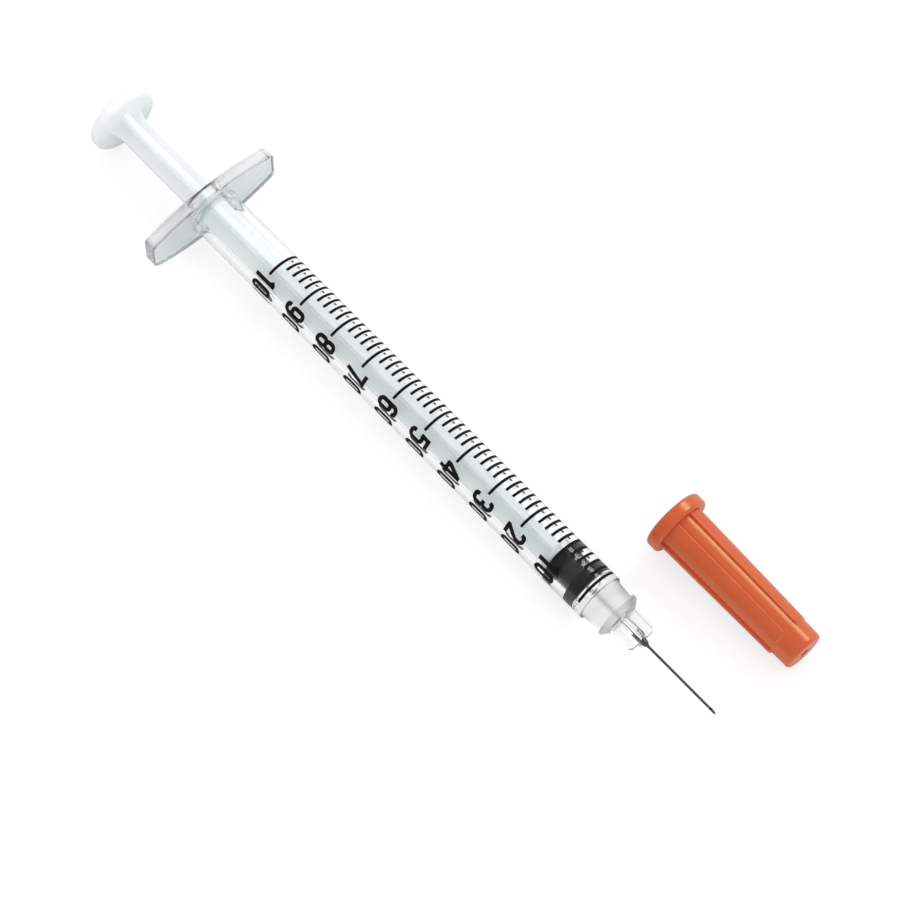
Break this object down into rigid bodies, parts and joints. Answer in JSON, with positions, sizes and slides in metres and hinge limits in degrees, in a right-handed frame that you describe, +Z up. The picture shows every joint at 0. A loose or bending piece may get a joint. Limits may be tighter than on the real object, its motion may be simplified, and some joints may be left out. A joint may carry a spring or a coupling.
{
  "type": "insulin syringe",
  "caption": "Slim clear syringe with a finger flange, printed scale and fixed needle, lying with its plunger pushed home and its ribbed needle shield taken off beside it.",
  "frame": {"origin": "on the barrel's axis at the front face of the finger flange", "axes": "+X along the barrel towards the needle, dipping 1.0 degrees below level because the syringe lies on its thumb disc and the front of its tube; +Y along the finger flange, to the side where the shield lies; +Z up"},
  "size_m": [0.1096, 0.0272, 0.0094],
  "materials": {
    "clear_plastic": "clear moulded plastic, glossy",
    "black_ink": "printed black ink",
    "needle_steel": "drawn stainless steel",
    "adhesive": "cured glue, glossy",
    "frosted_plastic": "translucent moulded plastic, faintly blue",
    "black_rubber": "moulded rubber with a film of silicone oil",
    "orange_plastic": "moulded polyethylene, satin gloss"
  },
  "bodies": {
    "barrel": {"barrel": "clear_plastic", "graduation_marks": "black_ink", "needle": "needle_steel", "needle_adhesive": "adhesive", "needle_shield": "orange_plastic"},
    "plunger": {"plunger_rod": "frosted_plastic", "stopper": "black_rubber"}
  },
  "joints": [
    {"name": "plunger_slide", "type": "slide", "parent": "barrel", "child": "plunger", "axis": [-0.9999, 0, 0.0169], "range_m": [0, 0.0625]}
  ]
}
